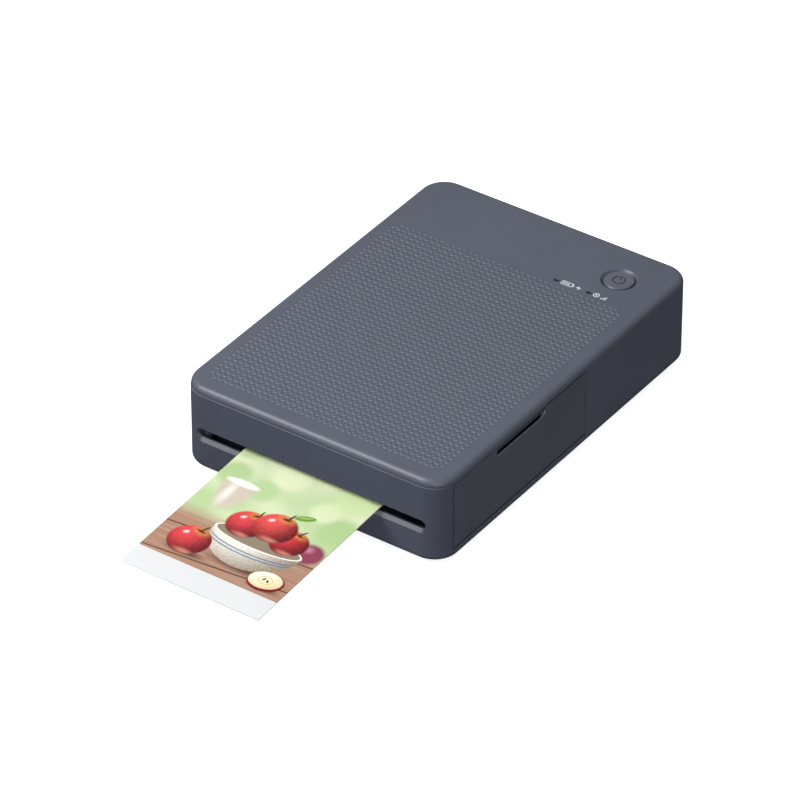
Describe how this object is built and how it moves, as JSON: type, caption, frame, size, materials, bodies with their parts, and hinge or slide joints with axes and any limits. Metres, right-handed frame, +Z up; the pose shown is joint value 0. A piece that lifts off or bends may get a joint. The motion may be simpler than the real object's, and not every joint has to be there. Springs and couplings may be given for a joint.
{
  "type": "compact photo printer",
  "caption": "Flat rounded-box dye-sublimation photo printer with a side cassette door, a base paper cover, a front slot with a print in it, and a top power button.",
  "frame": {"origin": "On the surface the feet stand on, under the middle of the case's footprint", "axes": "+X to the printer's right, +Y from the print slot to the back, +Z up"},
  "size_m": [0.1022, 0.2105, 0.0329],
  "materials": {
    "top_plastic": "satin moulded plastic, dark slate grey with a fine woven-look pattern on top",
    "front_plastic": "satin moulded plastic, dark slate grey",
    "door_plastic": "satin moulded plastic, slightly darker slate grey",
    "cover_plastic": "fine-sparked moulded plastic, dark grey",
    "rubber": "matt black rubber",
    "light_guide": "smoked clear plastic",
    "zinc_steel": "zinc-plated sheet steel",
    "shaft_steel": "ground steel",
    "screw_steel": "blackened steel",
    "motor_steel": "nickel-plated drawn steel can",
    "brass": "turned brass",
    "acetal": "natural white acetal",
    "engine_plastic": "black moulded plastic",
    "cassette_plastic": "dark grey moulded plastic",
    "spool_plastic": "white moulded plastic",
    "ribbon_film": "dyed film with a satin sheen",
    "circuit_board": "green solder mask on glass fibre",
    "chip_plastic": "black moulded chip packages",
    "battery_wrap": "grey shrink film over a pouch cell",
    "head_aluminium": "extruded aluminium",
    "head_ceramic": "glazed white ceramic",
    "photo_paper": "glossy coated photo paper"
  },
  "bodies": {
    "root": {"base_housing": "front_plastic", "top_housing": "top_plastic", "rubber_feet": "rubber", "case_screws": "screw_steel", "light_guides": "light_guide", "main_board": "circuit_board", "board_parts": "chip_plastic", "usb_socket": "zinc_steel", "battery_pack": "battery_wrap", "left_frame": "zinc_steel", "right_frame": "zinc_steel", "front_tie": "zinc_steel", "rear_tie": "zinc_steel", "head_bridge": "zinc_steel", "roller_bushes": "acetal", "gear_studs": "shaft_steel", "feed_motor": "motor_steel", "lift_motor": "motor_steel", "lower_sheet_guide": "engine_plastic", "upper_sheet_guide": "engine_plastic", "feed_ramp": "engine_plastic", "paper_stack": "photo_paper", "pinch_holders": "acetal", "head_pivot": "shaft_steel"},
    "door": {"cassette_door": "door_plastic"},
    "base_cover": {"paper_cover": "cover_plastic", "pressure_plate": "zinc_steel", "pressure_springs": "zinc_steel"},
    "button": {"power_button": "top_plastic"},
    "cassette": {"cassette_shell": "cassette_plastic", "cassette_cap": "cassette_plastic", "ink_ribbon": "ribbon_film"},
    "supply_reel": {"supply_spool": "spool_plastic"},
    "take_up_reel": {"take_up_spool": "spool_plastic"},
    "grip": {"grip_roller": "shaft_steel", "grip_gear": "acetal"},
    "pinch": {"pinch_roller": "shaft_steel"},
    "platen": {"platen_rubber": "rubber", "platen_shaft": "shaft_steel"},
    "feed_idler_wheel": {"feed_idler": "acetal"},
    "feed_rotor": {"feed_pinion": "brass"},
    "ribbon_drive": {"ribbon_hub": "acetal"},
    "pickup": {"pickup_tyres": "rubber", "pickup_shaft": "shaft_steel", "pickup_gear": "acetal"},
    "front_lift_wheel": {"front_lift_idler": "acetal"},
    "rear_lift_wheel": {"rear_lift_idler": "acetal"},
    "lift_rotor": {"lift_pinion": "brass"},
    "cam_idler_wheel": {"cam_idler": "acetal"},
    "cam_clutch": {"cam_clutch_gear": "acetal"},
    "cam": {"cam_shaft": "shaft_steel"},
    "head": {"thermal_head": "head_aluminium", "print_head_strip": "head_ceramic"},
    "print": {"photo_print": "photo_paper"}
  },
  "joints": [
    {"name": "door_hinge", "type": "hinge", "parent": "root", "child": "door", "pos_m": [0.0498, -0.02865, 0.0062], "axis": [0, 1, 0], "range_deg": [0, 95]},
    {"name": "base_cover_hinge", "type": "hinge", "parent": "root", "child": "base_cover", "pos_m": [0, -0.0349, 0.0024], "axis": [-1, 0, 0], "range_deg": [0, 100]},
    {"name": "power_button_press", "type": "slide", "parent": "root", "child": "button", "axis": [0, 0, -1], "range_m": [0, 0.0005], "stiffness_N_per_m": 2000, "springref_m": -0.0003},
    {"name": "cassette_slide", "type": "slide", "parent": "root", "child": "cassette", "axis": [1, 0, 0], "range_m": [0, 0.0165]},
    {"name": "print_slide", "type": "slide", "parent": "root", "child": "print", "axis": [0, -0.9986, -0.0523], "range_m": [-0.006, 0.036]},
    {"name": "grip_spin", "type": "hinge", "parent": "root", "child": "grip", "pos_m": [0, -0.04803, 0.01286], "axis": [1, 0, 0], "continuous": true},
    {"name": "pinch_spin", "type": "hinge", "parent": "root", "child": "pinch", "pos_m": [0, -0.04834, 0.01873], "axis": [1, 0, 0], "continuous": true},
    {"name": "platen_spin", "type": "hinge", "parent": "root", "child": "platen", "pos_m": [0, -0.04058, 0.01225], "axis": [1, 0, 0], "continuous": true},
    {"name": "feed_idler_spin", "type": "hinge", "parent": "root", "child": "feed_idler_wheel", "pos_m": [0, -0.05756, 0.01406], "axis": [1, 0, 0], "continuous": true},
    {"name": "feed_motor_spin", "type": "hinge", "parent": "root", "child": "feed_rotor", "pos_m": [0, -0.06103, 0.0088], "axis": [1, 0, 0], "continuous": true},
    {"name": "ribbon_drive_spin", "type": "hinge", "parent": "root", "child": "ribbon_drive", "pos_m": [0, -0.0579, 0.02305], "axis": [1, 0, 0], "continuous": true},
    {"name": "take_up_spin", "type": "hinge", "parent": "cassette", "child": "take_up_reel", "pos_m": [0, -0.0579, 0.02305], "axis": [1, 0, 0], "continuous": true},
    {"name": "supply_spin", "type": "hinge", "parent": "cassette", "child": "supply_reel", "pos_m": [0, 0.0005, 0.02305], "axis": [1, 0, 0], "continuous": true},
    {"name": "pickup_spin", "type": "hinge", "parent": "root", "child": "pickup", "pos_m": [0, -0.0233, 0.0107], "axis": [1, 0, 0], "continuous": true},
    {"name": "front_lift_spin", "type": "hinge", "parent": "root", "child": "front_lift_wheel", "pos_m": [0, -0.01262, 0.01846], "axis": [1, 0, 0], "continuous": true},
    {"name": "rear_lift_spin", "type": "hinge", "parent": "root", "child": "rear_lift_wheel", "pos_m": [0, 0.00418, 0.01846], "axis": [1, 0, 0], "continuous": true},
    {"name": "lift_motor_spin", "type": "hinge", "parent": "root", "child": "lift_rotor", "pos_m": [0, 0.01447, 0.02262], "axis": [1, 0, 0], "continuous": true},
    {"name": "cam_idler_spin", "type": "hinge", "parent": "root", "child": "cam_idler_wheel", "pos_m": [0, -0.02565, 0.02385], "axis": [1, 0, 0], "continuous": true},
    {"name": "cam_clutch_spin", "type": "hinge", "parent": "root", "child": "cam_clutch", "pos_m": [0, -0.0361, 0.02487], "axis": [1, 0, 0], "continuous": true},
    {"name": "cam_turn", "type": "hinge", "parent": "root", "child": "cam", "pos_m": [0, -0.0361, 0.02487], "axis": [-1, 0, 0], "range_deg": [0, 150]},
    {"name": "head_tilt", "type": "hinge", "parent": "root", "child": "head", "pos_m": [0, -0.012, 0.02207], "axis": [1, 0, 0], "range_deg": [0, 2.2]}
  ],
  "couplings": [
    {"joint": "door_hinge", "follows": "cassette_slide", "rad_per_m": 100},
    {"joint": "pinch_spin", "follows": "grip_spin", "ratio": -1.2},
    {"joint": "platen_spin", "follows": "grip_spin", "ratio": 0.75},
    {"joint": "feed_idler_spin", "follows": "grip_spin", "ratio": -1.6667},
    {"joint": "feed_motor_spin", "follows": "grip_spin", "ratio": 2.2222},
    {"joint": "ribbon_drive_spin", "follows": "grip_spin", "ratio": 1.1111},
    {"joint": "take_up_spin", "follows": "grip_spin", "ratio": 1.1111},
    {"joint": "supply_spin", "follows": "grip_spin", "ratio": 0.88202},
    {"joint": "front_lift_spin", "follows": "pickup_spin", "ratio": -0.57143},
    {"joint": "rear_lift_spin", "follows": "pickup_spin", "ratio": 0.57143},
    {"joint": "lift_motor_spin", "follows": "pickup_spin", "ratio": -1.7778},
    {"joint": "cam_idler_spin", "follows": "pickup_spin", "ratio": 0.8421},
    {"joint": "cam_clutch_spin", "follows": "pickup_spin", "ratio": -1},
    {"joint": "head_tilt", "follows": "cam_turn", "ratio": 0.014}
  ]
}
